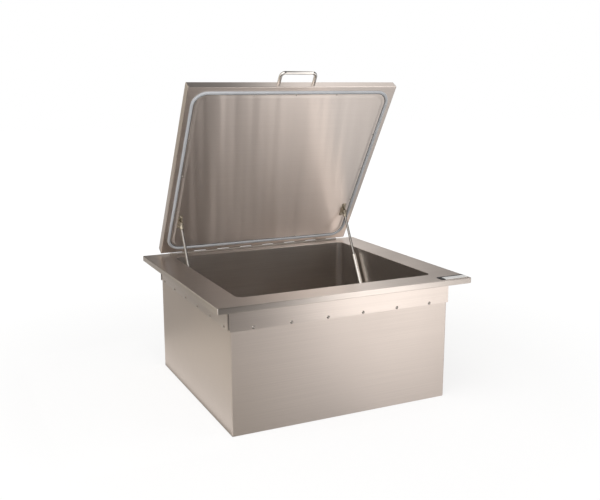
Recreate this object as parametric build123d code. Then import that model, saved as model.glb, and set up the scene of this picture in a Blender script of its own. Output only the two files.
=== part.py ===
from build123d import *
import math
import os

# Drop-in outdoor refreshment center: an insulated steel ice bin under a lid on two gas struts.
# Millimetres, +Z up, front towards -Y. Origin: middle of the deck's plan, at the casing's underside.
# The lid is drawn shut and then turned open about its hinge, because open is its rest.

# Casing
casing_width = 661.0
casing_depth = 610.0
casing_sheet = 1.2
casing_bend = 3.0

# Deck, the flat frame around the bin's mouth
deck_height = 362.0
deck_side_overhang = 50.5
deck_front_overhang = 45.0
deck_rear_overhang = 35.0
deck_sheet = 1.5
deck_lip = 16.5
deck_hem = 12.0
deck_bend = 3.0

# Collar strips that hang from the deck and lap the casing
collar_drop = 77.5
collar_sheet = 2.0
collar_tab = 12.0
collar_corner_gap = 12.0
tape_thickness = 1.0
tape_edge = 6.0

# Collar rivets
rivet_count = 6
rivet_pitch_front = 107.5
rivet_pitch_side = 106.0
rivet_rise = 5.0
rivet_head_radius = 4.5
rivet_head_height = 1.8
rivet_shank_radius = 2.4
rivet_tail = 3.0

# Bin liner and insulation
foam_thickness = 30.1
foam_clearance = 0.2
foam_floor = 39.6
liner_sheet = 1.2
liner_corner = 20.0
liner_floor_bend = 18.0
liner_rim = 16.0

# Drain
drain_flange_radius = 36.0
drain_flange_height = 2.5
drain_tail_radius = 17.0
drain_tail_above_base = 2.0
drain_socket_radius = 13.4
drain_socket_depth = 20.0
drain_throat_radius = 11.0
drain_hole_clearance = 0.3
drain_access_clearance = 3.0
drain_washer_radius = 34.0
drain_washer_thickness = 1.5
locknut_radius = 26.0
locknut_height = 10.0
locknut_pocket = 4.0
strainer_radius = 23.0
strainer_thickness = 1.5
strainer_hole_radius = 2.0
strainer_ring_radius = 8.0
strainer_ring_count = 6

# Lid
lid_open = 58.0
lid_thickness = 25.4
lid_gap = 5.6
lid_sheet = 1.2
lid_return = 36.0
lid_bend = 2.5
lid_foam_inset = 9.0
gasket_inset = 14.5
gasket_width = 9.0
gasket_corner = 46.0
gasket_clearance = 0.3
gasket_round = 3.4
panel_sheet = 1.0
panel_gap = 2.0
panel_flange = 5.0
panel_slope = 6.5
panel_drop = 0.5
panel_screw_spacing = 132.0
panel_screw_head_radius = 2.3
panel_screw_head_height = 1.2
panel_screw_radius = 1.5
panel_screw_tail = 4.0

# Handle
handle_span = 111.0
handle_reach = 35.0
handle_edge = 7.5
handle_bar_radius = 5.0
handle_bend = 14.0
handle_screw_radius = 2.5
handle_screw_depth = 12.0
handle_screw_head_radius = 4.5
handle_screw_head_height = 3.0

# Hinge
hinge_setback = 7.2
hinge_length = 600.0
knuckle_count = 15
knuckle_radius = 3.2
knuckle_clearance = 0.4
leaf_sheet = 1.2
deck_leaf_width = 23.0
lid_leaf_height = 20.0
hinge_pin_radius = 1.5
running_clearance = 0.05
hinge_rivet_count = 6
hinge_rivet_spacing = 100.0
hinge_rivet_head_radius = 3.2
hinge_rivet_head_height = 1.4
hinge_rivet_radius = 2.0
hinge_rivet_tail = 2.5

# Gas struts
strut_wall_gap = 11.5
strut_angle = 62.0
strut_reach = 132.0
pivot_stand = 13.5
rod_radius = 4.0
rod_end_radius = 6.5
rod_end_thickness = 6.0
rod_neck_radius = 5.5
rod_neck_length = 18.0
rod_socket_depth = 9.0
rod_shut_clearance = 1.6
tube_radius = 7.5
tube_wall = 1.0
tube_end_clearance = 4.0
gland_height = 6.0
piston_length = 8.0
piston_clearance = 0.35
fork_plug = 6.0
fork_reach = 28.5
fork_collar = 3.0
fork_half_width = 9.0
fork_jaw = 6.0
fork_slot_play = 0.75
fork_slot_rise = 2.75
fork_slot_fillet = 2.0

# Strut brackets on the lid
bracket_width = 13.0
bracket_length = 50.0
bracket_sheet = 2.0
bracket_screw_spacing = 36.6
ear_width = 14.0
ear_gap = 0.4
pivot_pin_radius = 2.5
pivot_pin_head_radius = 4.0
pivot_pin_head_height = 1.5
bracket_screw_radius = 2.0
bracket_screw_head_radius = 4.0
bracket_screw_head_height = 2.4
bracket_screw_tail = 1.5

# Strut studs on the bin walls
wall_plate_width = 24.0
wall_plate_height = 46.0
wall_plate_sheet = 2.0
wall_plate_corner = 4.0
wall_screw_spacing = 32.0
wall_screw_radius = 2.0
wall_screw_head_radius = 3.8
wall_screw_head_height = 2.2
wall_screw_tail = 6.0
wall_pocket_depth = 9.0
stud_radius = 4.0
stud_shoulder_radius = 6.0
stud_head_radius = 6.2
stud_head_height = 2.5
stud_side_play = 0.8
stud_spigot_radius = 3.0
stud_fit = 0.02

# Blank name plate on the deck
plate_width = 88.0
plate_depth = 28.0
plate_thickness = 2.0
plate_side_margin = 5.0
plate_front_margin = 10.0
plate_corner = 2.0
plate_edge = 0.8

# Sizes and places that follow from the above
deck_width = casing_width + 2 * deck_side_overhang
deck_depth = casing_depth + deck_front_overhang + deck_rear_overhang
casing_y = (deck_front_overhang - deck_rear_overhang) / 2
casing_front = casing_y - casing_depth / 2
casing_rear = casing_y + casing_depth / 2
casing_top = deck_height - deck_sheet - collar_sheet
collar_outer_x = casing_width / 2 + tape_thickness + collar_sheet
collar_outer_front = casing_front - tape_thickness - collar_sheet
collar_outer_rear = casing_rear + tape_thickness + collar_sheet
collar_bottom = deck_height - collar_drop
rivet_height = collar_bottom + rivet_rise
wall_total = casing_sheet + foam_thickness + liner_sheet
opening_width = casing_width - 2 * wall_total
opening_depth = casing_depth - 2 * wall_total
liner_floor = casing_sheet + foam_floor + liner_sheet
liner_rim_top = deck_height - deck_sheet
hinge_axis_gap = knuckle_radius + knuckle_clearance
hinge_y = casing_rear + hinge_setback
hinge_z = deck_height + hinge_axis_gap
hinge_axis = Axis((0, hinge_y, hinge_z), (-1, 0, 0))
lid_rear = hinge_y - hinge_axis_gap
lid_front = casing_front
lid_depth = lid_rear - lid_front
lid_y = (lid_rear + lid_front) / 2
lid_width = casing_width
lid_rim_z = deck_height + lid_gap
lid_top_z = lid_rim_z + lid_thickness
gasket_height = lid_gap - gasket_clearance
panel_inset = gasket_inset + gasket_width + panel_gap
panel_face_z = lid_rim_z - panel_sheet - panel_drop
screw_inset = panel_inset + panel_flange / 2
pivot_y = lid_rear - strut_reach
pivot_z = panel_face_z - pivot_stand
strut_x = opening_width / 2 - strut_wall_gap


def block(low, high):
    # Box between two corners.
    size = [b - a for a, b in zip(low, high)]
    middle = [(a + b) / 2 for a, b in zip(low, high)]
    return Pos(*middle) * Box(*size)


def slab(width, depth, y, low, high, corner=0.0):
    # Upright prism of a plain or rounded rectangle, centred on x = 0.
    outline = RectangleRounded(width, depth, corner) if corner else Rectangle(width, depth)
    return extrude(Pos(0, y, low) * outline, amount=high - low)


def rod_x(x, y, z, radius, length):
    # Cylinder along X about its middle.
    return Pos(x, y, z) * Rot(0, 90, 0) * Cylinder(radius, length)


def rod_z(x, y, low, high, radius):
    # Upright cylinder.
    return Pos(x, y, (low + high) / 2) * Cylinder(radius, high - low)


def button(head_radius, head_height, shank_radius, shank_length):
    # Domed head above z = 0 with a plain shank below it.
    cap = (head_radius**2 + head_height**2) / (2 * head_height)
    half = math.asin(head_radius / cap) / 2
    crown = (cap * math.sin(half), head_height - cap + cap * math.cos(half))
    tip = -shank_length
    corners = [(0, head_height), (0, tip), (shank_radius, tip), (shank_radius, 0), (head_radius, 0)]
    outline = [Polyline(*corners), ThreePointArc((head_radius, 0), crown, (0, head_height))]
    return revolve(Plane.XZ * make_face(outline), Axis.Z)


def group(shapes):
    # Separate like solids that share one node.
    return Compound([shape.solid() for shape in shapes])


def cut(shape, tools):
    for tool in tools:
        shape = shape - tool
    return shape


def spread(count, pitch):
    # Positions of evenly spaced copies about 0.
    return [(i - (count - 1) / 2) * pitch for i in range(count)]


def open_lid(shape):
    return shape.rotate(hinge_axis, lid_open)


facing = {"front": Rot(90, 0, 0), "rear": Rot(-90, 0, 0), "left": Rot(0, -90, 0), "right": Rot(0, 90, 0)}
parts = {}


def rivet_places():
    # One row of collar rivets on each side, each place facing outwards.
    places = []
    for x in spread(rivet_count, rivet_pitch_front):
        places.append(Pos(x, collar_outer_front, rivet_height) * facing["front"])
        places.append(Pos(x, collar_outer_rear, rivet_height) * facing["rear"])
    for y in spread(rivet_count, rivet_pitch_side):
        places.append(Pos(-collar_outer_x, casing_y + y, rivet_height) * facing["left"])
        places.append(Pos(collar_outer_x, casing_y + y, rivet_height) * facing["right"])
    return places


rivet_grip = collar_sheet + tape_thickness + casing_sheet
rivet_hole_radius = rivet_shank_radius + running_clearance
rivet_holes = [place * Cylinder(rivet_hole_radius, 4 * rivet_grip) for place in rivet_places()]


def make_casing():
    shell = slab(casing_width, casing_depth, casing_y, 0, casing_top, casing_bend)
    shell = fillet(shell.faces().sort_by(Axis.Z)[0].edges(), casing_bend - casing_sheet)
    inner_width = casing_width - 2 * casing_sheet
    inner_depth = casing_depth - 2 * casing_sheet
    inner_bend = casing_bend - casing_sheet
    shell -= slab(inner_width, inner_depth, casing_y, casing_sheet, casing_top, inner_bend)
    shell -= rod_z(0, casing_y, 0, casing_sheet, drain_tail_radius + drain_access_clearance)
    parts["outer_casing"] = cut(shell, rivet_holes)


def make_deck():
    lip_bottom = deck_height - deck_lip
    deck = slab(deck_width, deck_depth, 0, lip_bottom, deck_height, deck_bend)
    fold = deck_bend - deck_sheet / 2
    deck = fillet(deck.faces().sort_by(Axis.Z)[-1].edges(), fold)
    deck = fillet(deck.faces().sort_by(Axis.Z)[0].edges(), fold)
    inner_bend = deck_bend - deck_sheet
    inner_width = deck_width - 2 * deck_sheet
    inner_depth = deck_depth - 2 * deck_sheet
    hem_top = lip_bottom + deck_sheet
    deck -= slab(inner_width, inner_depth, 0, hem_top, deck_height - deck_sheet, inner_bend)
    deck -= slab(deck_width - 2 * deck_hem, deck_depth - 2 * deck_hem, 0, lip_bottom, hem_top)
    mouth = slab(opening_width, opening_depth, casing_y, lip_bottom, deck_height, liner_corner)
    parts["deck"] = cut(deck - mouth, deck_rivet_holes())


def collar_strip(length, outer, side):
    # Angle strip: a tall leg against the tape and a short tab under the deck, drawn facing -Y.
    top = deck_height - deck_sheet
    leg = block((-length / 2, outer, collar_bottom), (length / 2, outer + collar_sheet, top))
    tab = block((-length / 2, outer, top - collar_sheet), (length / 2, outer + collar_tab, top))
    turn = {"front": 0, "rear": 180, "left": -90, "right": 90}[side]
    return Pos(0, casing_y, 0) * Rot(0, 0, turn) * (leg + tab)


def make_collar():
    along_x = 2 * collar_outer_x
    along_y = casing_depth - 2 * collar_corner_gap
    face_y = -casing_depth / 2 - tape_thickness - collar_sheet
    for side in ("front", "rear"):
        parts["collar_" + side] = cut(collar_strip(along_x, face_y, side), rivet_holes)
    for side in ("left", "right"):
        parts["collar_" + side] = cut(collar_strip(along_y, -collar_outer_x, side), rivet_holes)
    tape_low = collar_bottom + tape_edge / 3
    tape_high = casing_top - tape_edge
    tape_width = casing_width + 2 * tape_thickness
    tape_depth = casing_depth + 2 * tape_thickness
    tape = slab(tape_width, tape_depth, casing_y, tape_low, tape_high, casing_bend + tape_thickness)
    tape -= slab(casing_width, casing_depth, casing_y, tape_low, tape_high, casing_bend)
    parts["collar_tape"] = cut(tape, rivet_holes)
    rivet = button(rivet_head_radius, rivet_head_height, rivet_shank_radius, rivet_grip + rivet_tail)
    parts["collar_rivets"] = group([place * rivet for place in rivet_places()])


def make_liner():
    outer_width = opening_width + 2 * liner_sheet
    outer_depth = opening_depth + 2 * liner_sheet
    bottom = liner_floor - liner_sheet
    outside = slab(outer_width, outer_depth, casing_y, bottom, liner_rim_top, liner_corner + liner_sheet)
    outside = fillet(outside.faces().sort_by(Axis.Z)[0].edges(), liner_floor_bend + liner_sheet)
    hollow = slab(opening_width, opening_depth, casing_y, liner_floor, liner_rim_top, liner_corner)
    hollow = fillet(hollow.faces().sort_by(Axis.Z)[0].edges(), liner_floor_bend)
    rim = slab(
        opening_width + 2 * liner_rim,
        opening_depth + 2 * liner_rim,
        casing_y,
        liner_rim_top - liner_sheet,
        liner_rim_top,
        liner_corner + liner_rim,
    )
    liner = outside + rim - hollow
    drain_hole = drain_tail_radius + drain_hole_clearance
    liner -= rod_z(0, casing_y, bottom, liner_floor, drain_hole)
    parts["bin_liner"] = cut(liner, wall_screw_holes())


def make_insulation():
    width = casing_width - 2 * casing_sheet - 2 * foam_clearance
    depth = casing_depth - 2 * casing_sheet - 2 * foam_clearance
    corner = casing_bend - casing_sheet
    low = casing_sheet + foam_clearance
    middle = casing_sheet + foam_floor - foam_clearance
    high = casing_top - foam_clearance
    floor = slab(width, depth, casing_y, low, middle, corner)
    parts["floor_insulation"] = floor - rod_z(0, casing_y, low, middle, locknut_radius + locknut_pocket)
    walls = slab(width, depth, casing_y, middle, high, corner)
    hollow_width = opening_width + 2 * (liner_sheet + foam_clearance)
    hollow_depth = opening_depth + 2 * (liner_sheet + foam_clearance)
    walls -= slab(hollow_width, hollow_depth, casing_y, middle, high, liner_corner + liner_sheet)
    # A groove all round clears the rivets' tails.
    groove_low = rivet_height - 2 * rivet_shank_radius
    groove_high = rivet_height + 2 * rivet_shank_radius
    groove_depth = rivet_tail + tape_thickness
    core_width = width - 2 * groove_depth
    core_depth = depth - 2 * groove_depth
    groove = slab(width, depth, casing_y, groove_low, groove_high)
    walls -= groove - slab(core_width, core_depth, casing_y, groove_low, groove_high)
    parts["wall_insulation"] = cut(walls, wall_pockets())


def make_drain():
    washer_top = liner_floor + drain_washer_thickness
    flange_top = washer_top + drain_flange_height
    washer = rod_z(0, casing_y, liner_floor, washer_top, drain_washer_radius)
    washer -= rod_z(0, casing_y, liner_floor, washer_top, drain_tail_radius + drain_hole_clearance)
    parts["drain_washer"] = washer
    body = rod_z(0, casing_y, washer_top, flange_top, drain_flange_radius)
    body += rod_z(0, casing_y, drain_tail_above_base, washer_top, drain_tail_radius)
    seat = strainer_radius + drain_hole_clearance
    body -= rod_z(0, casing_y, flange_top - strainer_thickness, flange_top, seat)
    body -= rod_z(0, casing_y, drain_tail_above_base, flange_top, drain_throat_radius)
    socket_top = drain_tail_above_base + drain_socket_depth
    body -= rod_z(0, casing_y, drain_tail_above_base, socket_top, drain_socket_radius)
    parts["drain_body"] = body
    nut_top = liner_floor - liner_sheet
    hexagon = Pos(0, casing_y, nut_top - locknut_height) * RegularPolygon(locknut_radius, 6)
    nut = extrude(hexagon, amount=locknut_height)
    nut_bore = drain_tail_radius + running_clearance
    parts["drain_locknut"] = nut - rod_z(0, casing_y, nut_top - locknut_height, nut_top, nut_bore)
    strainer = rod_z(0, casing_y, flange_top - strainer_thickness, flange_top, strainer_radius)
    turns = [2 * math.pi * i / strainer_ring_count for i in range(strainer_ring_count)]
    reach = strainer_ring_radius
    places = [(0, 0)] + [(reach * math.cos(turn), reach * math.sin(turn)) for turn in turns]
    underside = flange_top - strainer_thickness
    for x, y in places:
        strainer -= rod_z(x, casing_y + y, underside, flange_top, strainer_hole_radius)
    parts["drain_strainer"] = strainer


def lid_slab(inset, low, high, corner=0.0):
    return slab(lid_width - 2 * inset, lid_depth - 2 * inset, lid_y, low, high, corner)


def lid_outline(inset, z, corner):
    return Pos(0, lid_y, z) * RectangleRounded(lid_width - 2 * inset, lid_depth - 2 * inset, corner)


def panel_screw_places():
    # Three screws along each edge of the lid panel.
    half_width = lid_width / 2 - screw_inset
    half_depth = lid_depth / 2 - screw_inset
    places = []
    for along in spread(3, panel_screw_spacing):
        places += [(along, lid_y - half_depth), (along, lid_y + half_depth)]
        places += [(-half_width, lid_y + along), (half_width, lid_y + along)]
    return places


def make_lid():
    pan = lid_slab(0, lid_rim_z, lid_top_z, lid_bend)
    fold = lid_bend - lid_sheet / 2
    pan = fillet(pan.faces().sort_by(Axis.Z)[-1].edges(), fold)
    pan = fillet(pan.faces().sort_by(Axis.Z)[0].edges(), fold)
    pan -= lid_slab(lid_sheet, lid_rim_z + lid_sheet, lid_top_z - lid_sheet, lid_bend - lid_sheet)
    pan -= lid_slab(lid_return, lid_rim_z, lid_rim_z + lid_sheet)
    holes = []
    for x, y in panel_screw_places():
        tip = lid_rim_z + lid_sheet
        holes.append(rod_z(x, y, lid_rim_z - panel_sheet, tip, panel_screw_radius + running_clearance))
    holes += handle_holes(2 * lid_sheet) + lid_rivet_holes()
    parts["lid_pan"] = open_lid(cut(pan, holes))

    flange_corner = gasket_corner - gasket_width - panel_gap
    dish_corner = flange_corner - panel_flange
    field_corner = dish_corner - panel_slope
    flange_low = lid_rim_z - panel_sheet
    dish = loft([
        lid_outline(panel_inset + panel_flange, flange_low, dish_corner),
        lid_outline(panel_inset + panel_flange + panel_slope, panel_face_z, field_corner),
    ], ruled=True)
    panel = lid_slab(panel_inset, flange_low, lid_rim_z, flange_corner) + dish
    panel -= Pos(0, 0, panel_sheet) * dish
    parts["lid_panel"] = open_lid(cut(panel, holes + bracket_screw_holes()))

    foam_low = lid_rim_z + lid_sheet + foam_clearance
    foam_high = lid_top_z - lid_sheet - foam_clearance
    foam = lid_slab(lid_foam_inset, foam_low, foam_high)
    # The screws' points end in a channel under the foam's edge.
    channel_high = foam_low + panel_screw_tail
    channel_outer = lid_slab(lid_foam_inset, foam_low, channel_high)
    foam -= channel_outer - lid_slab(lid_return, foam_low, channel_high)
    parts["lid_insulation"] = open_lid(foam)

    ring_low = lid_rim_z - gasket_height
    ring = lid_slab(gasket_inset, ring_low, lid_rim_z, gasket_corner)
    ring -= lid_slab(gasket_inset + gasket_width, ring_low, lid_rim_z, gasket_corner - gasket_width)
    ring = fillet(ring.faces().sort_by(Axis.Z)[0].edges(), gasket_round)
    parts["lid_gasket"] = open_lid(ring)

    grip = panel_sheet + lid_sheet + panel_screw_tail
    screw = Rot(180, 0, 0) * button(
        panel_screw_head_radius, panel_screw_head_height, panel_screw_radius, grip
    )
    screws = [Pos(x, y, flange_low) * screw for x, y in panel_screw_places()]
    parts["lid_panel_screws"] = group([open_lid(screw) for screw in screws])


handle_z = lid_top_z - handle_edge


def handle_holes(depth):
    # Holes for the handle's screws, running both ways from the lid's front face.
    hole = facing["front"] * Cylinder(handle_screw_radius + running_clearance, 2 * depth)
    return [Pos(x, lid_front, handle_z) * hole for x in spread(2, handle_span)]


def make_handle():
    half = handle_span / 2
    bar_y = lid_front - handle_reach
    corners = [(-half, lid_front), (-half, bar_y), (half, bar_y), (half, lid_front)]
    path = FilletPolyline(*[(x, y, handle_z) for x, y in corners], radius=handle_bend)
    section = Plane(origin=(-half, lid_front, handle_z), z_dir=(0, -1, 0)) * Circle(handle_bar_radius)
    parts["handle"] = open_lid(cut(sweep(section, path), handle_holes(handle_screw_depth)))
    grip = lid_sheet + handle_screw_depth
    screw = facing["rear"] * button(
        handle_screw_head_radius, handle_screw_head_height, handle_screw_radius, grip
    )
    places = [Pos(x, lid_front + lid_sheet, handle_z) for x in spread(2, handle_span)]
    parts["handle_screws"] = group([open_lid(place * screw) for place in places])


def hinge_rivet_xs():
    return spread(hinge_rivet_count, hinge_rivet_spacing)


def deck_rivet_y():
    return hinge_y + (hinge_axis_gap + deck_leaf_width) / 2


def lid_rivet_z():
    return hinge_z + (hinge_axis_gap + lid_leaf_height) / 2


def lid_rivet_holes():
    hole = Rot(90, 0, 0) * Cylinder(hinge_rivet_radius + running_clearance, 4 * (leaf_sheet + lid_sheet))
    return [Pos(x, lid_rear, lid_rivet_z()) * hole for x in hinge_rivet_xs()]


def deck_rivet_holes():
    hole = Cylinder(hinge_rivet_radius + running_clearance, 4 * (leaf_sheet + deck_sheet))
    return [Pos(x, deck_rivet_y(), deck_height) * hole for x in hinge_rivet_xs()]


def hinge_rivet(sheet):
    # A rivet that holds a hinge leaf to a sheet.
    shank = leaf_sheet + sheet + hinge_rivet_tail
    return button(hinge_rivet_head_radius, hinge_rivet_head_height, hinge_rivet_radius, shank)


def make_hinge():
    pitch = hinge_length / knuckle_count
    knuckle = pitch - knuckle_clearance
    half = hinge_length / 2
    deck_leaf_top = deck_height + leaf_sheet
    lid_leaf_face = lid_rear + leaf_sheet
    behind = hinge_y + hinge_axis_gap
    above = hinge_z + hinge_axis_gap
    deck_leaf = block((-half, behind, deck_height), (half, hinge_y + deck_leaf_width, deck_leaf_top))
    lid_leaf = block((-half, lid_rear, above), (half, lid_leaf_face, hinge_z + lid_leaf_height))
    for i, x in enumerate(spread(knuckle_count, pitch)):
        roll = rod_x(x, hinge_y, hinge_z, knuckle_radius, knuckle)
        left = x - knuckle / 2
        right = x + knuckle / 2
        if i % 2:
            lid_leaf += roll + block((left, lid_rear, hinge_z), (right, lid_leaf_face, above))
        else:
            deck_leaf += roll + block((left, hinge_y, deck_height), (right, behind, deck_leaf_top))
    bore = rod_x(0, hinge_y, hinge_z, hinge_pin_radius + running_clearance, hinge_length)
    parts["hinge_deck_leaf"] = cut(deck_leaf - bore, deck_rivet_holes())
    parts["hinge_lid_leaf"] = open_lid(cut(lid_leaf - bore, lid_rivet_holes()))
    parts["hinge_pin"] = rod_x(0, hinge_y, hinge_z, hinge_pin_radius, hinge_length)
    places = [Pos(x, deck_rivet_y(), deck_leaf_top) for x in hinge_rivet_xs()]
    parts["hinge_deck_rivets"] = group([place * hinge_rivet(deck_sheet) for place in places])
    places = [Pos(x, lid_leaf_face, lid_rivet_z()) * facing["rear"] for x in hinge_rivet_xs()]
    parts["hinge_lid_rivets"] = group([open_lid(place * hinge_rivet(lid_sheet)) for place in places])


# Strut geometry in the YZ plane: the lid pivot shut and open, and the wall stud
def turned(y, z):
    # A point of the shut lid, carried to the open lid.
    angle = math.radians(lid_open)
    front, up = hinge_y - y, z - hinge_z
    return (
        hinge_y - front * math.cos(angle) + up * math.sin(angle),
        hinge_z + front * math.sin(angle) + up * math.cos(angle),
    )


strut_slope = math.radians(strut_angle)
strut_dir = (0, -math.cos(strut_slope), -math.sin(strut_slope))
open_pivot = turned(pivot_y, pivot_z)


def extended_length(dead_length):
    # Open, the strut is its dead length and two strokes long. That and the stud's fixed place
    # give a quadratic for the length from the lid pivot to the stud.
    rise = (open_pivot[0] - pivot_y, open_pivot[1] - pivot_z)
    along = rise[0] * strut_dir[1] + rise[1] * strut_dir[2]
    b = 2 * along - dead_length / 2
    c = rise[0]**2 + rise[1]**2 - dead_length**2 / 4
    return (-b + math.sqrt(b**2 - 3 * c)) / 1.5


rod_dead = rod_neck_length + rod_shut_clearance + gland_height + piston_length
tube_dead = tube_end_clearance + fork_plug + fork_reach
strut_length = extended_length(rod_dead + tube_dead)
stud_y = open_pivot[0] + strut_length * strut_dir[1]
stud_z = open_pivot[1] + strut_length * strut_dir[2]
shut_length = math.hypot(stud_y - pivot_y, stud_z - pivot_z)
strut_stroke = strut_length - shut_length
gland_start = rod_neck_length + strut_stroke + rod_shut_clearance
rod_tip = gland_start + gland_height + piston_length
tube_end = strut_length - fork_reach


def wall_screw_places(sign):
    wall_x = sign * opening_width / 2
    return [(wall_x, stud_y, stud_z + dz) for dz in spread(2, wall_screw_spacing)]


def wall_screw_holes():
    length = 4 * (wall_plate_sheet + liner_sheet)
    hole = Rot(0, 90, 0) * Cylinder(wall_screw_radius + running_clearance, length)
    return [Pos(*place) * hole for sign in (-1, 1) for place in wall_screw_places(sign)]


def wall_pockets():
    # Room in the foam for the wall screws' points.
    pocket = Box(wall_pocket_depth, wall_plate_width, wall_plate_height)
    x = opening_width / 2 + liner_sheet + wall_pocket_depth / 2
    return [Pos(sign * x, stud_y, stud_z) * pocket for sign in (-1, 1)]


def bracket_screw_places(sign):
    return [(sign * strut_x, pivot_y + dy) for dy in spread(2, bracket_screw_spacing)]


def bracket_screw_holes():
    low = panel_face_z - bracket_sheet
    high = panel_face_z + panel_sheet
    radius = bracket_screw_radius + running_clearance
    return [rod_z(x, y, low, high, radius) for sign in (-1, 1) for x, y in bracket_screw_places(sign)]


def make_lid_bracket(side, sign):
    x = sign * strut_x
    top = panel_face_z
    base_low = top - bracket_sheet
    half_gap = rod_end_thickness / 2 + ear_gap
    bracket = block(
        (x - bracket_width / 2, pivot_y - bracket_length / 2, base_low),
        (x + bracket_width / 2, pivot_y + bracket_length / 2, top),
    )
    for ear in (-1, 1):
        ear_x = x + ear * (half_gap + bracket_sheet / 2)
        leg = block(
            (ear_x - bracket_sheet / 2, pivot_y - ear_width / 2, pivot_z),
            (ear_x + bracket_sheet / 2, pivot_y + ear_width / 2, base_low),
        )
        bracket += leg + rod_x(ear_x, pivot_y, pivot_z, ear_width / 2, bracket_sheet)
    pin_length = 2 * (half_gap + bracket_sheet)
    bracket -= rod_x(x, pivot_y, pivot_z, pivot_pin_radius + running_clearance, pin_length)
    parts[side + "_lid_bracket"] = open_lid(cut(bracket, bracket_screw_holes()))
    pin = rod_x(x, pivot_y, pivot_z, pivot_pin_radius, pin_length)
    for end in (-1, 1):
        head_x = x + end * (pin_length + pivot_pin_head_height) / 2
        pin += rod_x(head_x, pivot_y, pivot_z, pivot_pin_head_radius, pivot_pin_head_height)
    parts[side + "_pivot_pin"] = open_lid(pin)
    grip = bracket_sheet + panel_sheet + bracket_screw_tail
    screw = Rot(180, 0, 0) * button(
        bracket_screw_head_radius, bracket_screw_head_height, bracket_screw_radius, grip
    )
    screws = [Pos(px, py, base_low) * screw for px, py in bracket_screw_places(sign)]
    parts[side + "_bracket_screws"] = group([open_lid(screw) for screw in screws])


def make_strut(side, sign):
    # Drawn along its own axis from the lid pivot, then laid on the line to the wall stud.
    line = Plane(origin=(sign * strut_x, *open_pivot), x_dir=(1, 0, 0), z_dir=strut_dir)
    eye = rod_x(0, 0, 0, rod_end_radius, rod_end_thickness)
    eye += rod_z(0, 0, rod_end_radius / 2, rod_neck_length, rod_neck_radius)
    # The neck keeps the eye's thickness until it is clear of the bracket's ears.
    flat_end = ear_width / 2 + 2 * ear_gap
    flat = rod_end_thickness / 2
    eye -= block((-rod_neck_radius, -rod_neck_radius, 0), (-flat, rod_neck_radius, flat_end))
    eye -= block((flat, -rod_neck_radius, 0), (rod_neck_radius, rod_neck_radius, flat_end))
    eye -= rod_x(0, 0, 0, pivot_pin_radius + running_clearance, rod_end_thickness)
    rod_start = rod_neck_length - rod_socket_depth
    eye -= rod_z(0, 0, rod_start, rod_neck_length, rod_radius + stud_fit)
    parts[side + "_rod_end"] = line * eye
    parts[side + "_piston_rod"] = line * rod_z(0, 0, rod_start, rod_tip, rod_radius)
    bore = tube_radius - tube_wall
    piston = rod_z(0, 0, rod_tip - piston_length, rod_tip, bore - piston_clearance)
    piston -= rod_z(0, 0, rod_tip - piston_length, rod_tip, rod_radius + stud_fit)
    parts[side + "_piston"] = line * piston
    gland = rod_z(0, 0, gland_start, gland_start + gland_height, bore - stud_fit)
    gland -= rod_z(0, 0, gland_start, gland_start + gland_height, rod_radius + running_clearance)
    parts[side + "_gland"] = line * gland
    tube = rod_z(0, 0, gland_start, tube_end, tube_radius) - rod_z(0, 0, gland_start, tube_end, bore)
    parts[side + "_tube"] = line * tube
    fork = rod_z(0, 0, tube_end - fork_plug, tube_end, bore - stud_fit)
    fork += rod_z(0, 0, tube_end, tube_end + fork_collar, tube_radius)
    slot_low = strut_length - stud_radius - fork_slot_rise - fork_slot_play
    slot_high = strut_length + stud_radius + fork_slot_play
    slot_side = stud_radius + fork_slot_play
    half = rod_end_thickness / 2
    blade = block(
        (-half, -fork_half_width, tube_end + fork_collar), (half, fork_half_width, slot_high + fork_jaw)
    )
    blade = fillet(blade.edges().filter_by(Axis.X), fork_jaw / 2)
    slot = block((-half, -2 * fork_half_width, slot_low), (half, slot_side, slot_high))
    slot = fillet(slot.edges().filter_by(Axis.X).group_by(Axis.Y)[-1], fork_slot_fillet)
    fork += blade + block((-half, -fork_jaw, tube_end), (half, fork_jaw, tube_end + 2 * fork_collar))
    parts[side + "_fork"] = line * (fork - slot)


def make_wall_stud(side, sign):
    wall_x = opening_width / 2
    plate_x = wall_x - wall_plate_sheet / 2
    outline = Plane.YZ * RectangleRounded(wall_plate_width, wall_plate_height, wall_plate_corner)
    plate = Pos(sign * (wall_x - (wall_plate_sheet if sign > 0 else 0)), stud_y, stud_z) * extrude(
        outline, amount=wall_plate_sheet
    )
    spigot = rod_x(sign * plate_x, stud_y, stud_z, stud_spigot_radius, wall_plate_sheet)
    plate -= rod_x(sign * plate_x, stud_y, stud_z, stud_spigot_radius + stud_fit, wall_plate_sheet)
    parts[side + "_wall_plate"] = cut(plate, wall_screw_holes())
    face_x = wall_x - wall_plate_sheet
    shoulder_x = strut_x + rod_end_thickness / 2 + stud_side_play
    head_x = strut_x - rod_end_thickness / 2 - stud_side_play

    def disc(low, high, radius):
        return rod_x(sign * (low + high) / 2, stud_y, stud_z, radius, high - low)

    stud = spigot + disc(shoulder_x, face_x, stud_shoulder_radius)
    stud += disc(head_x, shoulder_x, stud_radius)
    stud += disc(head_x - stud_head_height, head_x, stud_head_radius)
    parts[side + "_wall_stud"] = stud
    grip = wall_plate_sheet + liner_sheet + wall_screw_tail
    inward = facing["right" if sign < 0 else "left"]
    screw = inward * button(wall_screw_head_radius, wall_screw_head_height, wall_screw_radius, grip)
    screws = [Pos(sign * face_x, y, z) * screw for x, y, z in wall_screw_places(sign)]
    parts[side + "_wall_screws"] = group(screws)


def make_name_plate():
    x = deck_width / 2 - plate_side_margin - plate_width / 2
    y = -deck_depth / 2 + plate_front_margin + plate_depth / 2
    plate = slab(plate_width, plate_depth, y, deck_height, deck_height + plate_thickness, plate_corner)
    plate = fillet(plate.faces().sort_by(Axis.Z)[-1].edges(), plate_edge)
    parts["name_plate"] = Pos(x, 0, 0) * plate


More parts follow.
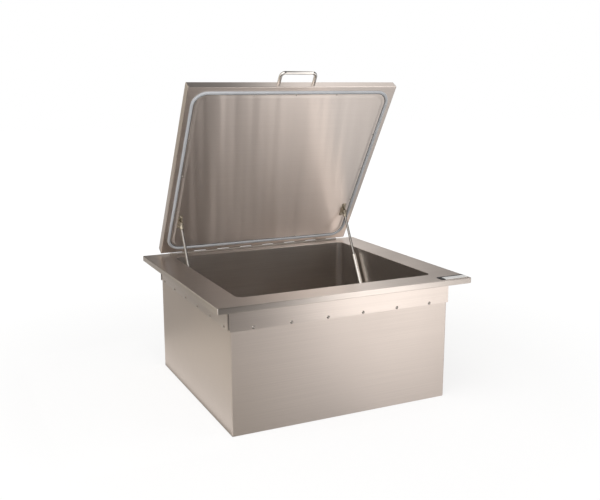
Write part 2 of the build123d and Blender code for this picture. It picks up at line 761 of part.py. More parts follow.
make_casing()
make_deck()
make_collar()
make_liner()
make_insulation()
make_drain()
make_lid()
make_handle()
make_hinge()
for side, sign in (("left", -1), ("right", 1)):
    make_lid_bracket(side, sign)
    make_strut(side, sign)
    make_wall_stud(side, sign)
make_name_plate()

os.makedirs("parts", exist_ok=True)
for name, shape in parts.items():
    export_step(shape, "parts/" + name + ".step")
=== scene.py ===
import math
import bpy
import numpy as np
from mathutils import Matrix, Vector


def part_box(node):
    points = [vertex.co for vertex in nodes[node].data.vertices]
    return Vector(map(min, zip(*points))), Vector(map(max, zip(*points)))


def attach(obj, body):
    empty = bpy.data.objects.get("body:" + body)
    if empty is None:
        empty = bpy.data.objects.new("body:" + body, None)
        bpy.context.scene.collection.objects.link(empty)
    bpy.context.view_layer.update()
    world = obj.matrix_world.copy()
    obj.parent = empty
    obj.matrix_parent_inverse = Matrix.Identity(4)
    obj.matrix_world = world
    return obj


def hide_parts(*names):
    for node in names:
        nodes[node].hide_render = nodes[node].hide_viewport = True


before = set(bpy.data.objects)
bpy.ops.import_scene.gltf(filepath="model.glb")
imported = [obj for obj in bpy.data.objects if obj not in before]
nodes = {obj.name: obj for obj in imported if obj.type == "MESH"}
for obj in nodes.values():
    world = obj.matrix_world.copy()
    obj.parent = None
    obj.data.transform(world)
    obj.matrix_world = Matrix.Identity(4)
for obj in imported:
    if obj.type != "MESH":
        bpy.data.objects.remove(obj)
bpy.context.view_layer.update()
scene = bpy.context.scene
print("frame loaded,", len(nodes), "nodes")

hinge = {"y": 0.3172, "z": 0.3656, "open": math.radians(58.0)}  # metres, and the lid's angle at rest


def openLid(points):
    # turns points of the shut lid about the hinge line: y and z rotate by the open angle, x stays
    front, up = hinge["y"] - points[..., 1], points[..., 2] - hinge["z"]
    c, s = math.cos(hinge["open"]), math.sin(hinge["open"])
    y = hinge["y"] - front * c + up * s
    z = hinge["z"] + front * s + up * c
    return np.stack([points[..., 0], y, z], axis=-1)


def gridMesh(name, points, closeU, closeV):
    # points[u, v] is a grid; each cell becomes one quad, and a closed direction wraps round to its start
    nu, nv = points.shape[:2]
    u = np.arange(nu if closeU else nu - 1)[:, None]
    v = np.arange(nv if closeV else nv - 1)[None, :]
    u2, v2 = (u + 1) % nu, (v + 1) % nv
    corners = np.broadcast_arrays(u * nv + v, u2 * nv + v, u2 * nv + v2, u * nv + v2)
    quads = np.stack(corners, axis=-1).reshape(-1, 4)
    mesh = bpy.data.meshes.new(name)
    mesh.vertices.add(nu * nv)
    mesh.vertices.foreach_set("co", points.reshape(-1).astype(np.float32))
    mesh.loops.add(quads.size)
    mesh.loops.foreach_set("vertex_index", quads.reshape(-1).astype(np.int32))
    mesh.polygons.add(len(quads))
    mesh.polygons.foreach_set("loop_start", np.arange(0, quads.size, 4, dtype=np.int32))
    mesh.update(calc_edges=True)
    mesh.validate()
    mesh.polygons.foreach_set("use_smooth", np.ones(len(mesh.polygons), dtype=bool))
    piece = bpy.data.objects.new(name, mesh)
    scene.collection.objects.link(piece)
    return piece


# shared shader groups: they put out masks and heights only

def newGroup(name, inputs, outputs):
    # takes a vector and some numbers, and puts out some numbers
    group = bpy.data.node_groups.new(name, "ShaderNodeTree")
    group.interface.new_socket(name="Vector", in_out="INPUT", socket_type="NodeSocketVector")
    for end, labels in (("INPUT", inputs), ("OUTPUT", outputs)):
        for label in labels:
            group.interface.new_socket(name=label, in_out=end, socket_type="NodeSocketFloat")
    return group, group.nodes.new("NodeGroupInput"), group.nodes.new("NodeGroupOutput")


def mathNode(tree, operation, *values):
    node = tree.nodes.new("ShaderNodeMath")
    node.operation = operation
    for socket, value in zip(node.inputs, values):
        if isinstance(value, (int, float)):
            socket.default_value = value
        else:
            tree.links.new(value, socket)
    return node.outputs[0]


def noiseAt(tree, vector, scale, detail, rough):
    node = tree.nodes.new("ShaderNodeTexNoise")
    node.inputs["Scale"].default_value = scale
    node.inputs["Detail"].default_value = detail
    node.inputs["Roughness"].default_value = rough
    tree.links.new(vector, node.inputs["Vector"])
    return node.outputs[0]


brushLook = {"fine": {"across": 1.0, "along": 1.0, "detail": 3.0, "weight": 0.85},
             "broad": {"across": 0.07, "along": 0.2, "detail": 2.0, "weight": 0.15}, "rough": 0.55}


def brushBand(group, inside, band, rough):
    # noise squeezed across the grain and drawn out along it
    squeeze = group.nodes.new("ShaderNodeCombineXYZ")
    across = mathNode(group, "MULTIPLY", inside.outputs["Lines"], band["across"])
    along = mathNode(group, "MULTIPLY", inside.outputs["Run"], band["along"])
    for axis, value in zip("XYZ", (along, across, across)):
        group.links.new(value, squeeze.inputs[axis])
    scaled = group.nodes.new("ShaderNodeVectorMath")
    scaled.operation = "MULTIPLY"
    group.links.new(inside.outputs["Vector"], scaled.inputs[0])
    group.links.new(squeeze.outputs[0], scaled.inputs[1])
    return noiseAt(group, scaled.outputs[0], scale=1.0, detail=band["detail"], rough=rough)


def makeBrushGroup(look):
    # brushed lines: the tone is a fine and a broad band, each times its weight; the height is the fine one
    group, inside, out = newGroup("brushedLines", ["Lines", "Run"], ["Tone", "Height"])
    fine = brushBand(group, inside, look["fine"], look["rough"])
    broad = brushBand(group, inside, look["broad"], look["rough"])
    tone = mathNode(group, "ADD", mathNode(group, "MULTIPLY", fine, look["fine"]["weight"]),
                    mathNode(group, "MULTIPLY", broad, look["broad"]["weight"]))
    group.links.new(tone, out.inputs["Tone"])
    group.links.new(fine, out.inputs["Height"])
    return group


marksLook = {"cloud": {"scale": 1.0, "detail": 4.0, "rough": 0.6},
             "specks": {"scale": 90.0, "detail": 1.0, "rough": 0.5}, "speckFrom": 0.74}


def makeMarksGroup(look):
    # handling marks: soft clouds of wiping, and a few small specks where a fine noise is at its highest
    group, inside, out = newGroup("handlingMarks", ["Scale"], ["Cloud", "Specks"])
    big = group.nodes.new("ShaderNodeVectorMath")
    big.operation = "SCALE"
    group.links.new(inside.outputs["Vector"], big.inputs[0])
    group.links.new(inside.outputs["Scale"], big.inputs["Scale"])
    group.links.new(noiseAt(group, big.outputs[0], **look["cloud"]), out.inputs["Cloud"])
    speck = mathNode(group, "GREATER_THAN", noiseAt(group, big.outputs[0], **look["specks"]), look["speckFrom"])
    group.links.new(speck, out.inputs["Specks"])
    return group


brushedLines = makeBrushGroup(brushLook)
handlingMarks = makeMarksGroup(marksLook)
print("shader groups made")

noiseSpan = (0.3, 0.7)  # nearly all values of a noise lie in here
bumpDepth = {"grain": 0.0003, "pebble": 0.0004}  # metres
sidewaysFrom = 0.7  # a face looks along X where its normal's X is above this


def nodeOf(tree, kind):
    return next(n for n in tree.nodes if n.type == kind)


def socketOf(sockets, kind, label):
    # a Mix node has a socket of the same name for each kind of value
    return next(s for s in sockets if s.type == kind and s.name == label)


def rangeNode(tree, value, low, high, span=noiseSpan):
    # the span's ends become low and high
    node = tree.nodes.new("ShaderNodeMapRange")
    for label, number in zip(("From Min", "From Max", "To Min", "To Max"), (*span, low, high)):
        node.inputs[label].default_value = number
    tree.links.new(value, node.inputs["Value"])
    return node.outputs[0]


def mixColour(tree, factor, dark, light):
    node = tree.nodes.new("ShaderNodeMix")
    node.data_type = "RGBA"
    tree.links.new(factor, node.inputs["Factor"])
    for label, value in (("A", dark), ("B", light)):
        socket = socketOf(node.inputs, "RGBA", label)
        if isinstance(value, tuple):
            socket.default_value = (*value, 1.0)
        else:
            tree.links.new(value, socket)
    return socketOf(node.outputs, "RGBA", "Result")


def startMaterial(name, turn=0.0):
    # a material with its Principled shader, and Object coordinates turned about X so that grain can follow
    # the lid
    material = bpy.data.materials.new(name)
    material.use_nodes = True
    tree = material.node_tree
    where = tree.nodes.new("ShaderNodeTexCoord")
    mapping = tree.nodes.new("ShaderNodeMapping")
    mapping.inputs["Rotation"].default_value = (turn, 0.0, 0.0)
    tree.links.new(where.outputs["Object"], mapping.inputs["Vector"])
    return material, tree, nodeOf(tree, "BSDF_PRINCIPLED"), mapping.outputs[0]


def placeGroup(tree, group, vector, **values):
    node = tree.nodes.new("ShaderNodeGroup")
    node.node_tree = group
    tree.links.new(vector, node.inputs["Vector"])
    for label, value in values.items():
        node.inputs[label].default_value = value
    return node


def bumpNode(tree, height, strength, distance, under=None):
    node = tree.nodes.new("ShaderNodeBump")
    node.inputs["Strength"].default_value = strength
    node.inputs["Distance"].default_value = distance
    tree.links.new(height, node.inputs["Height"])
    if under is not None:
        tree.links.new(under, node.inputs["Normal"])
    return node.outputs["Normal"]


def radialTangent(tree, axis):
    node = tree.nodes.new("ShaderNodeTangent")
    node.direction_type = "RADIAL"
    node.axis = axis
    return node.outputs[0]


def smearTangent(tree, axis):
    # the tangent runs round the axis; round X it has no direction on faces that look along X, so these
    # take it round Y
    around = radialTangent(tree, axis)
    if axis != "X":
        return around
    facing = tree.nodes.new("ShaderNodeNewGeometry")
    parts = tree.nodes.new("ShaderNodeSeparateXYZ")
    tree.links.new(facing.outputs["Normal"], parts.inputs[0])
    sideways = mathNode(tree, "GREATER_THAN", mathNode(tree, "ABSOLUTE", parts.outputs["X"]), sidewaysFrom)
    chosen = tree.nodes.new("ShaderNodeMix")
    chosen.data_type = "VECTOR"
    tree.links.new(sideways, chosen.inputs["Factor"])
    for label, tangent in (("A", around), ("B", radialTangent(tree, "Y"))):
        tree.links.new(tangent, socketOf(chosen.inputs, "VECTOR", label))
    return socketOf(chosen.outputs, "VECTOR", "Result")


def swapAxes(tree, vector):
    # X and Y change places, so that the grain, which runs along X, runs along Y
    parts = tree.nodes.new("ShaderNodeSeparateXYZ")
    joined = tree.nodes.new("ShaderNodeCombineXYZ")
    tree.links.new(vector, parts.inputs[0])
    for target, source in zip("XYZ", "YXZ"):
        tree.links.new(parts.outputs[source], joined.inputs[target])
    return joined.outputs[0]


def waveNormal(tree, vector, waves, under):
    # the sheet isn't quite flat: noise squeezed along X gives long, shallow waves, which lean by an angle
    # about Z
    lean = tree.nodes.new("ShaderNodeMapping")
    lean.inputs["Rotation"].default_value = (0.0, 0.0, waves["lean"])
    squeeze = tree.nodes.new("ShaderNodeVectorMath")
    squeeze.operation = "MULTIPLY"
    squeeze.inputs[1].default_value = waves["squeeze"]
    tree.links.new(vector, lean.inputs["Vector"])
    tree.links.new(lean.outputs[0], squeeze.inputs[0])
    return bumpNode(tree, noiseAt(tree, squeeze.outputs[0], **waves["noise"]), 1.0, waves["depth"], under)


def steelMaterial(name, look):
    # brushed steel: tone and bump follow the grain, roughness follows the wiping marks
    material, tree, shader, vector = startMaterial(name, look.get("turn", 0.0))
    if look.get("grainAlongY"):
        vector = swapAxes(tree, vector)
    grain = placeGroup(tree, brushedLines, vector, Lines=look["lines"], Run=look["run"])
    cloud = placeGroup(tree, handlingMarks, vector, Scale=look["marks"]).outputs["Cloud"]
    # where the look asks for blotches, the tone follows the cloud instead of the grain: dark blotches of
    # painted shade
    tone = rangeNode(tree, cloud if look.get("shadeBlotches") else grain.outputs["Tone"], 0.0, 1.0)
    tree.links.new(mixColour(tree, tone, look["dark"], look["light"]), shader.inputs["Base Color"])
    tree.links.new(rangeNode(tree, cloud, *look["rough"]), shader.inputs["Roughness"])
    normal = bumpNode(tree, grain.outputs["Height"], look["bump"], bumpDepth["grain"])
    if "waves" in look:
        normal = waveNormal(tree, vector, look["waves"], normal)
    tree.links.new(normal, shader.inputs["Normal"])
    shader.inputs["Metallic"].default_value = look.get("metal", 1.0)
    if "smear" in look:  # reflections spread across the grain
        shader.inputs["Anisotropic"].default_value = look["smear"]
        shader.inputs["Anisotropic Rotation"].default_value = look.get("smearTurn", 0.0)
        tree.links.new(smearTangent(tree, look["smearAxis"]), shader.inputs["Tangent"])
    return material


def dress(material, *names):
    for name in names:
        nodes[name].data.materials.clear()
        nodes[name].data.materials.append(material)


# sheet metal; no range of roughness crosses 0.27, where denoising draws a line round each cloud

casingSteel = {"dark": (0.705, 0.622, 0.572), "light": (0.765, 0.677, 0.622), "lines": 520.0, "run": 3.0,
               "marks": 4.0, "rough": (0.40, 0.46), "bump": 0.012, "smear": 0.5, "smearAxis": "Z",
               "smearTurn": 0.25}
dress(steelMaterial("casingSteel", casingSteel), "outer_casing")
collarSteel = dict(casingSteel, dark=(0.662, 0.585, 0.538), light=(0.720, 0.636, 0.585), rough=(0.28, 0.33))
dress(steelMaterial("collarSteel", collarSteel), "collar_front", "collar_rear")
sideCollar = dict(collarSteel, dark=(0.728, 0.643, 0.592), light=(0.79, 0.70, 0.643), grainAlongY=True)
dress(steelMaterial("sideCollarSteel", sideCollar), "collar_left", "collar_right")
deckSteel = {"dark": (0.70, 0.628, 0.58), "light": (0.78, 0.705, 0.652), "lines": 520.0, "run": 4.0,
             "marks": 5.0, "rough": (0.30, 0.36), "bump": 0.008, "smear": 1.0, "smearAxis": "X"}
dress(steelMaterial("deckSteel", deckSteel), "deck")
linerSteel = {"dark": (0.57, 0.525, 0.492), "light": (0.645, 0.60, 0.566), "lines": 480.0, "run": 5.0,
              "marks": 6.0, "rough": (0.28, 0.34), "bump": 0.012}
dress(steelMaterial("linerSteel", linerSteel), "bin_liner")
lidSteel = {"dark": (0.705, 0.63, 0.585), "light": (0.78, 0.70, 0.65), "lines": 520.0, "run": 4.0,
            "marks": 4.0, "rough": (0.28, 0.31), "bump": 0.008, "smear": 0.7, "smearAxis": "X",
            "turn": hinge["open"]}
dress(steelMaterial("lidSteel", lidSteel), "lid_pan")
panelWaves = {"squeeze": (18.0, 0.8, 0.8), "lean": 0.17, "depth": 0.0022,
              "noise": {"scale": 1.0, "detail": 1.0, "rough": 0.5}}
panelSteel = dict(lidSteel, dark=(0.715, 0.643, 0.60), light=(0.755, 0.68, 0.635), rough=(0.33, 0.37),
                  smear=1.0, waves=panelWaves)
dress(steelMaterial("panelSteel", panelSteel), "lid_panel")
print("sheet metal dressed")


# fittings

def onBothSides(*parts):
    return [side + part for side in ("left_", "right_") for part in parts]


fittingSteel = {"dark": (0.60, 0.56, 0.51), "light": (0.76, 0.72, 0.67), "lines": 500.0, "run": 60.0,
                "marks": 40.0, "rough": (0.14, 0.22), "bump": 0.02}
dress(steelMaterial("fittingSteel", fittingSteel), "lid_panel_screws", "handle_screws", "drain_strainer",
      *onBothSides("wall_plate", "wall_stud", "wall_screws", "fork"))
rivetSteel = dict(fittingSteel, dark=(0.34, 0.31, 0.285), light=(0.46, 0.43, 0.40))
dress(steelMaterial("rivetSteel", rivetSteel), "collar_rivets")
hingeSteel = dict(fittingSteel, dark=(0.46, 0.42, 0.385), light=(0.60, 0.555, 0.51), rough=(0.40, 0.50))
dress(steelMaterial("hingeSteel", hingeSteel), "hinge_deck_leaf", "hinge_lid_leaf", "hinge_pin",
      "hinge_deck_rivets", "hinge_lid_rivets")
platingWithShadeBlotches = {"dark": (0.10, 0.08, 0.055), "light": (0.74, 0.66, 0.53), "lines": 400.0, "run": 90.0,
               "marks": 130.0, "rough": (0.28, 0.36), "bump": 0.03, "metal": 0.7,
               "shadeBlotches": True}  # dark blotches on the strut mounts' plating: painted shade for the deep shadows between the plates, spread at random by the cloud
dress(steelMaterial("platingWithShadeBlotches", platingWithShadeBlotches),
      *onBothSides("lid_bracket", "bracket_screws", "pivot_pin", "rod_end"))
rodSteel = {"dark": (0.30, 0.28, 0.265), "light": (0.40, 0.38, 0.355), "lines": 300.0, "run": 40.0,
            "marks": 30.0, "rough": (0.06, 0.10), "bump": 0.01}
dress(steelMaterial("rodSteel", rodSteel), *onBothSides("piston_rod"))
polishedSteel = {"dark": (0.58, 0.55, 0.51), "light": (0.72, 0.69, 0.65), "lines": 300.0, "run": 40.0,
                 "marks": 30.0, "rough": (0.12, 0.20), "bump": 0.02}
dress(steelMaterial("polishedSteel", polishedSteel), "drain_body", *onBothSides("tube"))
handleSteel = dict(polishedSteel, dark=(0.70, 0.67, 0.64), light=(0.80, 0.77, 0.74), rough=(0.05, 0.09))
dress(steelMaterial("handleSteel", handleSteel), "handle")

# the dark colour of the end bands is painted shade; the pale colours are a painted reflection of a bright
# chrome top
namePlate = {"bright": (0.88, 0.88, 0.87), "bare": (0.855, 0.855, 0.845), "edgeShade": (0.020, 0.020, 0.022),
             "marks": 12.0, "left": 0.011, "rear": 0.008, "rough": (0.28, 0.34), "metal": 0.15}


def plateMaterial(spec):
    # a pale blank plate with dark bands along its left end and rear edge: a point is dark where it lies within
    # either band. The bands are painted shade for the plate's shaded end face and rear rim, and the pale,
    # nearly matt colour is a painted reflection standing for the bright gleam of a chrome top
    low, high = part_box("name_plate")
    material, tree, shader, vector = startMaterial("namePlate")
    parts = tree.nodes.new("ShaderNodeSeparateXYZ")
    tree.links.new(vector, parts.inputs[0])
    atLeft = mathNode(tree, "LESS_THAN", parts.outputs["X"], low[0] + spec["left"])
    atRear = mathNode(tree, "GREATER_THAN", parts.outputs["Y"], high[1] - spec["rear"])
    # the bands of painted shade along the left end and the rear edge
    edgeShade = mathNode(tree, "MAXIMUM", atLeft, atRear)
    cloud = placeGroup(tree, handlingMarks, vector, Scale=spec["marks"]).outputs["Cloud"]
    metal = mixColour(tree, rangeNode(tree, cloud, 0.0, 1.0), spec["bare"], spec["bright"])
    tree.links.new(mixColour(tree, edgeShade, metal, spec["edgeShade"]), shader.inputs["Base Color"])
    shader.inputs["Metallic"].default_value = spec["metal"]
    tree.links.new(rangeNode(tree, cloud, *spec["rough"]), shader.inputs["Roughness"])
    return material


dress(plateMaterial(namePlate), "name_plate")


def mattMaterial(name, look):
    # matt rubber, plastic or foam: clouded colour, specks and a fine pebbled bump
    material, tree, shader, vector = startMaterial(name)
    marks = placeGroup(tree, handlingMarks, vector, Scale=look["marks"])
    cloud = marks.outputs["Cloud"]
    clouded = mixColour(tree, rangeNode(tree, cloud, 0.0, 1.0), look["dark"], look["light"])
    specks = mathNode(tree, "MULTIPLY", marks.outputs["Specks"], look["specks"])
    tree.links.new(mixColour(tree, specks, clouded, look["speck"]), shader.inputs["Base Color"])
    tree.links.new(rangeNode(tree, cloud, *look["rough"]), shader.inputs["Roughness"])
    pebble = noiseAt(tree, vector, scale=look["pebble"], detail=2.0, rough=0.6)
    tree.links.new(bumpNode(tree, pebble, look["bump"], bumpDepth["pebble"]), shader.inputs["Normal"])
    return material


greySeal = {"dark": (0.50, 0.52, 0.55), "light": (0.60, 0.62, 0.65), "speck": (0.30, 0.31, 0.33),
            "specks": 0.5, "rough": (0.45, 0.6), "marks": 14.0, "pebble": 900.0, "bump": 0.2}
sealMaterial = mattMaterial("greySeal", greySeal)
dress(sealMaterial, "lid_gasket")
# dark rubber for the drain washer; the same colour is painted shade on the strip at the seal's inner foot
darkSealAndShade = {"dark": (0.020, 0.019, 0.018), "light": (0.045, 0.042, 0.040), "speck": (0.09, 0.085, 0.08),
            "specks": 0.4, "rough": (0.6, 0.8), "marks": 20.0, "pebble": 1200.0, "bump": 0.3}
darkMaterial = mattMaterial("darkSealAndShade", darkSealAndShade)
dress(darkMaterial, "drain_washer")
# the tape under the collar is real, and its dark colour where it shows in the corner gaps between the collar
# strips is painted shade for those gaps
tapeAndGapShade = dict(darkSealAndShade, dark=(0.15, 0.13, 0.115), light=(0.22, 0.195, 0.175), speck=(0.10, 0.09, 0.08))
dress(mattMaterial("tapeAndGapShade", tapeAndGapShade), "collar_tape")
blackPlastic = {"dark": (0.012, 0.012, 0.013), "light": (0.030, 0.030, 0.031), "speck": (0.06, 0.06, 0.06),
                "specks": 0.2, "rough": (0.35, 0.5), "marks": 60.0, "pebble": 1500.0, "bump": 0.15}
dress(mattMaterial("blackPlastic", blackPlastic), "drain_locknut", *onBothSides("gland", "piston"))
foam = {"dark": (0.66, 0.56, 0.34), "light": (0.82, 0.74, 0.50), "speck": (0.50, 0.40, 0.22),
        "specks": 0.6, "rough": (0.8, 0.95), "marks": 9.0, "pebble": 350.0, "bump": 0.7}
dress(mattMaterial("foam", foam), "wall_insulation", "floor_insulation", "lid_insulation")
print("fittings, seals and foam dressed")

# lid seal: metres, on the shut lid

lidSeal = {"lidHalf": (0.3305, 0.3068), "edge": 0.0145, "middleY": 0.0068, "rim": 0.3676, "corner": 0.046,
           "width": 0.009, "height": 0.0053, "fin": 0.0009, "inset": 0.0004, "roundness": 0.75,
           "strip": 0.0015, "stripHeight": 0.0006, "arcPoints": 24, "domePoints": 24}


def bulbProfile(spec):
    # across the run, from the outer foot over the dome to the inner foot: (offset outwards, height off the
    # rim); the dome is a half round whose cosine and sine are raised to the roundness, to fill its shoulders
    half = spec["width"] / 2
    a = np.linspace(0.0, math.pi, spec["domePoints"])
    flank = half - spec["inset"]
    across = flank * np.sign(np.cos(a)) * np.abs(np.cos(a)) ** spec["roundness"]
    up = spec["fin"] + (spec["height"] - spec["fin"]) * np.sin(a) ** spec["roundness"]
    foot = np.array([[half, 0.0], [half, spec["fin"]]])
    return np.concatenate([foot, np.stack([across, up], axis=-1), foot[::-1] * (-1.0, 1.0)])


def stripProfile(spec):
    # a flat dark strip along the seal's inner foot: painted shade, a dark sheet standing for the shadow gap
    # between the seal and the panel
    outer = -spec["width"] / 2
    inner, top = outer - spec["strip"], spec["stripHeight"]
    return np.array([[outer, 0.0], [outer, top], [inner, top], [inner, 0.0]])


def carryRound(name, spec, profile):
    # a profile carried round a rounded rectangle on the lid's rim: a quarter turn at each corner, straight
    # between them
    halfX, halfY = (half - spec["edge"] for half in spec["lidHalf"])
    turn = np.concatenate([np.linspace(k, k + 1, spec["arcPoints"]) for k in range(4)]) * math.pi / 2
    quarter = np.repeat(np.arange(4), spec["arcPoints"]) * math.pi / 2 + math.pi / 4
    middle = np.stack([np.sign(np.cos(quarter)) * (halfX - spec["corner"]),
                       np.sign(np.sin(quarter)) * (halfY - spec["corner"])], axis=-1)
    outward = np.stack([np.cos(turn), np.sin(turn)], axis=-1)
    line = middle + outward * (spec["corner"] - spec["width"] / 2)
    flat = line[:, None, :] + outward[:, None, :] * profile[None, :, :1]
    down = np.broadcast_to(spec["rim"] - profile[None, :, 1], flat.shape[:2])
    points = np.stack([flat[..., 0], flat[..., 1] + spec["middleY"], down], axis=-1)
    return gridMesh(name, openLid(points), True, True)


seal = carryRound("lidSeal", lidSeal, bulbProfile(lidSeal))
seal.data.materials.append(sealMaterial)
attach(seal, "lid")
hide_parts("lid_gasket")
# the dark strip at the seal's inner foot is painted shade for the gap between the seal and the panel
strip = carryRound("sealShadeStrip", lidSeal, stripProfile(lidSeal))
strip.data.materials.append(darkMaterial)
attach(strip, "lid")
print("lid seal made")

# stage: floor, lights, camera

glowTint = {"plain": (1.0, 0.985, 0.965), "warmth": (0.0, 0.05, 0.16)}  # warmth is taken off the plain tint
stageLook = {"half": 14.0, "level": -0.0005, "grey": 0.92, "rough": 0.9, "white": 1.06, "shadow": 0.30,
             "bare": (0.8, 1.9), "glow": 0.50}  # metres; the shadow fades out between the two of bare


def rayMask(tree):
    # 1 for rays from the camera, off gloss and through glass, which all see the white background
    path = tree.nodes.new("ShaderNodeLightPath")
    seen = mathNode(tree, "MAXIMUM", path.outputs["Is Camera Ray"], path.outputs["Is Glossy Ray"])
    return mathNode(tree, "MAXIMUM", seen, path.outputs["Is Transmission Ray"])


def mixShaders(tree, share, plain, white, outputKind):
    mixed = tree.nodes.new("ShaderNodeMixShader")
    for socket, source in zip(mixed.inputs, (share, plain.outputs[0], white.outputs[0])):
        tree.links.new(source, socket)
    tree.links.new(mixed.outputs[0], nodeOf(tree, outputKind).inputs["Surface"])


def makeFloor(look):
    # a flat square from its corners, two and two
    span = (-look["half"], look["half"])
    floor = gridMesh("floor", np.array([[(x, y, look["level"]) for y in span] for x in span]), False, False)
    material, tree, shader, vector = startMaterial("paleFloor")
    shader.inputs["Base Color"].default_value = (look["grey"], look["grey"], look["grey"], 1.0)
    shader.inputs["Roughness"].default_value = look["rough"]
    white = tree.nodes.new("ShaderNodeEmission")
    white.inputs["Strength"].default_value = look["white"]
    away = tree.nodes.new("ShaderNodeVectorMath")
    away.operation = "LENGTH"
    tree.links.new(vector, away.inputs[0])
    bare = rangeNode(tree, away.outputs["Value"], 1.0 - look["shadow"], 1.0, look["bare"])
    mixShaders(tree, mathNode(tree, "MULTIPLY", rayMask(tree), bare), shader, white, "OUTPUT_MATERIAL")
    floor.data.materials.append(material)


def makeWorld(look):
    world = bpy.data.worlds.new("studio")
    world.use_nodes = True
    tree = world.node_tree
    plain = nodeOf(tree, "BACKGROUND")
    plain.inputs["Color"].default_value = (*glowTint["plain"], 1.0)
    plain.inputs["Strength"].default_value = look["glow"]
    white = tree.nodes.new("ShaderNodeBackground")
    white.inputs["Color"].default_value = (1.0, 1.0, 1.0, 1.0)
    mixShaders(tree, rayMask(tree), plain, white, "OUTPUT_WORLD")
    scene.world = world


# glowing sheets that the metal mirrors; a step is (place, level) or (place, level, warmth), left to right

lightTent = {"radius": 5.0, "top": 4.0, "lift": 0.001, "rows": 24, "columns": 96, "slope": 0.1, "reach": 5.0,
             "steps": [(-5.0, 0.76, 1.0), (-2.0, 0.76, 1.0), (-0.5, 0.05), (1.1, 0.18), (1.4, 0.45),
                       (1.6, 1.40), (2.2, 0.70), (2.45, 0.90), (2.7, 0.60), (2.95, 0.22)],
             "front": [(-5.0, 1.00), (-2.5, 1.75), (-0.8, 1.60), (0.0, 0.05), (0.6, 0.04), (1.3, 0.06),
                       (1.5, 0.80), (1.75, 2.50), (2.15, 1.20), (2.5, 0.10), (3.5, 0.20)],
             "blend": (-0.9, 0.1)}
floorCard = {"radius": 4.8, "rings": 8, "columns": 64, "slope": 0.35, "reach": 2.0,
             "steps": [(-2.0, 0.58, 1.0), (-0.75, 0.34, 1.0), (-0.58, 0.50, 0.6), (-0.45, 0.48, 0.6),
                       (-0.12, 0.80), (0.02, 1.10), (0.2, 1.18), (0.55, 0.85)],
             "front": [(-2.0, 0.05), (-0.75, 0.25), (-0.60, 0.14), (-0.42, 0.10), (-0.22, 0.40),
                       (-0.02, 1.20), (0.2, 2.30), (0.55, 1.55)],
             "blend": (-1.05, -0.72), "near": (-1.15, -0.10), "dim": 0.52}
leftCard = {"corners": [(-0.75, -0.36, 0.001), (-0.75, 0.60, 0.001),
                        (-0.34, -0.36, 0.001), (-0.34, 0.60, 0.001)],
            "slope": 0.0, "reach": 1.0,
            "steps": [(-0.75, 0.72, 0.8), (-0.55, 0.86, 0.6), (-0.45, 0.52, 0.3), (-0.36, 0.82, 0.1)]}
frontCard = {"corners": [(1.5, -4.3, 1.3), (1.5, -4.3, 3.0), (3.4, -4.3, 1.3), (3.4, -4.3, 3.0)],
             "slope": 0.0, "reach": 4.0, "steps": [(0.0, 2.0), (3.4, 2.45)]}


def lightRamp(tree, share, steps, reach, peak):
    # one stop for each step: it lies at its place within the reach either way, as a share of the peak
    ramp = tree.nodes.new("ShaderNodeValToRGB")
    tree.links.new(share, ramp.inputs[0])
    stops = ramp.color_ramp.elements
    while len(stops) < len(steps):
        stops.new(0.5)
    for stop, (place, value, *given) in zip(stops, steps):
        warmth = given[0] if given else 0.0
        stop.position = 0.5 + place / reach / 2
        tint = [full - less * warmth for full, less in zip(glowTint["plain"], glowTint["warmth"])]
        stop.color = (*[value / peak * part for part in tint], 1.0)
    return ramp.outputs[0]


def gradedLight(name, look):
    # a plain glow that is graded from left to right: x plus slope times y, over the reach, picks the step
    material = bpy.data.materials.new(name)
    material.use_nodes = True
    tree = material.node_tree
    tree.nodes.remove(nodeOf(tree, "BSDF_PRINCIPLED"))
    where = tree.nodes.new("ShaderNodeTexCoord")
    parts = tree.nodes.new("ShaderNodeSeparateXYZ")
    tree.links.new(where.outputs["Object"], parts.inputs[0])
    leaning = mathNode(tree, "MULTIPLY", parts.outputs["Y"], look["slope"])
    across = mathNode(tree, "ADD", parts.outputs["X"], leaning)
    share = rangeNode(tree, across, 0.0, 1.0, (-look["reach"], look["reach"]))
    peak = max(step[1] for step in look["steps"] + look.get("front", []))
    colour = lightRamp(tree, share, look["steps"], look["reach"], peak)
    if "front" in look:  # other steps towards the front, blended over a stretch of y
        blend = rangeNode(tree, parts.outputs["Y"], 1.0, 0.0, look["blend"])
        colour = mixColour(tree, blend, colour, lightRamp(tree, share, look["front"], look["reach"], peak))
    glow = tree.nodes.new("ShaderNodeEmission")
    glow.inputs["Strength"].default_value = peak
    tree.links.new(colour, glow.inputs["Color"])
    if "near" in look:  # dimmer close in, as the part itself keeps light off it
        level = rangeNode(tree, parts.outputs["Y"], peak, peak * look["dim"], look["near"])
        tree.links.new(level, glow.inputs["Strength"])
    tree.links.new(glow.outputs[0], nodeOf(tree, "OUTPUT_MATERIAL").inputs["Surface"])
    return material


def reflectorOnly(piece, material):
    # the metal sees it, the camera and the lamps don't
    piece.data.materials.append(material)
    piece.visible_camera = False
    piece.visible_diffuse = False
    piece.visible_shadow = False
    piece.visible_transmission = False


def makeTent(look):
    # a dome: the columns go round, and the rows rise from the floor to the crown; each row lies at the
    # radius times the cosine of its rise, and at the top's height times the sine
    turn = np.linspace(0.0, 2 * math.pi, look["columns"], endpoint=False)[:, None]
    rise = np.linspace(0.0, math.pi / 2, look["rows"])[None, :]
    across = np.cos(rise) * look["radius"]
    up = np.sin(rise) * look["top"] + look["lift"]
    points = np.stack(np.broadcast_arrays(np.cos(turn) * across, np.sin(turn) * across, up), axis=-1)
    reflectorOnly(gridMesh("lightTent", points, True, False), gradedLight("tentGlow", look))


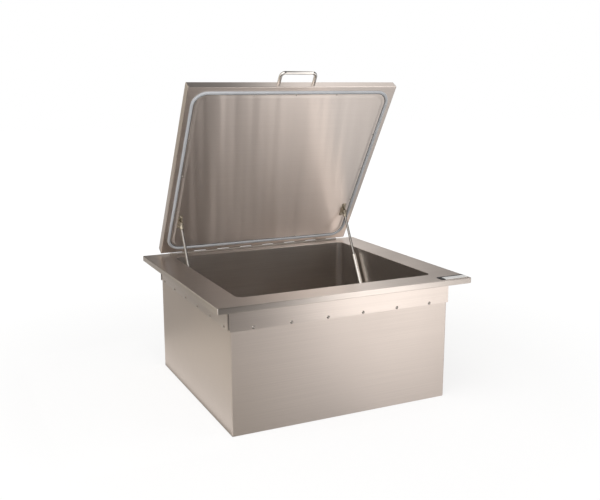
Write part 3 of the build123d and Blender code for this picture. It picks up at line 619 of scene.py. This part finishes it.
def makeFloorCard(look):
    # a round card just over the floor: rings of points from the middle to the edge
    turn = np.linspace(0.0, 2 * math.pi, look["columns"], endpoint=False)[:, None]
    reach = np.linspace(0.0, look["radius"], look["rings"])[None, :]
    points = np.stack(np.broadcast_arrays(np.cos(turn) * reach, np.sin(turn) * reach, 0.0), axis=-1)
    reflectorOnly(gridMesh("floorCard", points, True, False), gradedLight("floorGlow", look))


def makeCard(name, look):
    # a flat graded card from its corners, two and two
    points = np.array(look["corners"]).reshape(2, 2, 3)
    reflectorOnly(gridMesh(name, points, False, False), gradedLight(name + "Glow", look))


softboxes = {"keyTop": {"place": (-1.7, -1.4, 3.3), "size": (3.2, 3.2), "watts": 75.0},
             "fillRight": {"place": (3.0, -2.0, 2.0), "size": (3.0, 3.0), "watts": 22.0}}
lampTarget = (0.0, 0.0, 0.4)


def makeSoftbox(name, spec):
    # a lamp that is turned to look from its place at the target
    lamp = bpy.data.lights.new(name, "AREA")
    lamp.shape = "RECTANGLE"
    lamp.size, lamp.size_y = spec["size"]
    lamp.energy = spec["watts"]
    holder = bpy.data.objects.new(name, lamp)
    holder.location = spec["place"]
    aim = np.array(lampTarget) - np.array(spec["place"])
    flat = math.hypot(aim[0], aim[1])
    holder.rotation_euler = (math.atan2(flat, -aim[2]), 0.0, math.atan2(aim[1], aim[0]) - math.pi / 2)
    holder.visible_glossy = False  # the metal shows the tent, not the lamps
    scene.collection.objects.link(holder)


makeFloor(stageLook)
makeWorld(stageLook)
makeTent(lightTent)
makeFloorCard(floorCard)
makeCard("frontCard", frontCard)
makeCard("leftCard", leftCard)
for name, spec in softboxes.items():
    makeSoftbox(name, spec)

cameraSpec = {"place": (-1.0186, -2.1375, 0.8988), "down": 11.64, "yaw": 25.66, "lens": 48.45, "sensor": 36.0}
eye = bpy.data.cameras.new("camera")
eye.lens = cameraSpec["lens"]
eye.sensor_width = cameraSpec["sensor"]
eye.sensor_fit = "HORIZONTAL"
camera = bpy.data.objects.new("camera", eye)
camera.location = cameraSpec["place"]
camera.rotation_euler = (math.radians(90.0 - cameraSpec["down"]), 0.0, math.radians(-cameraSpec["yaw"]))
scene.collection.objects.link(camera)
scene.camera = camera
scene.view_settings.view_transform = "Standard"
print("stage set")
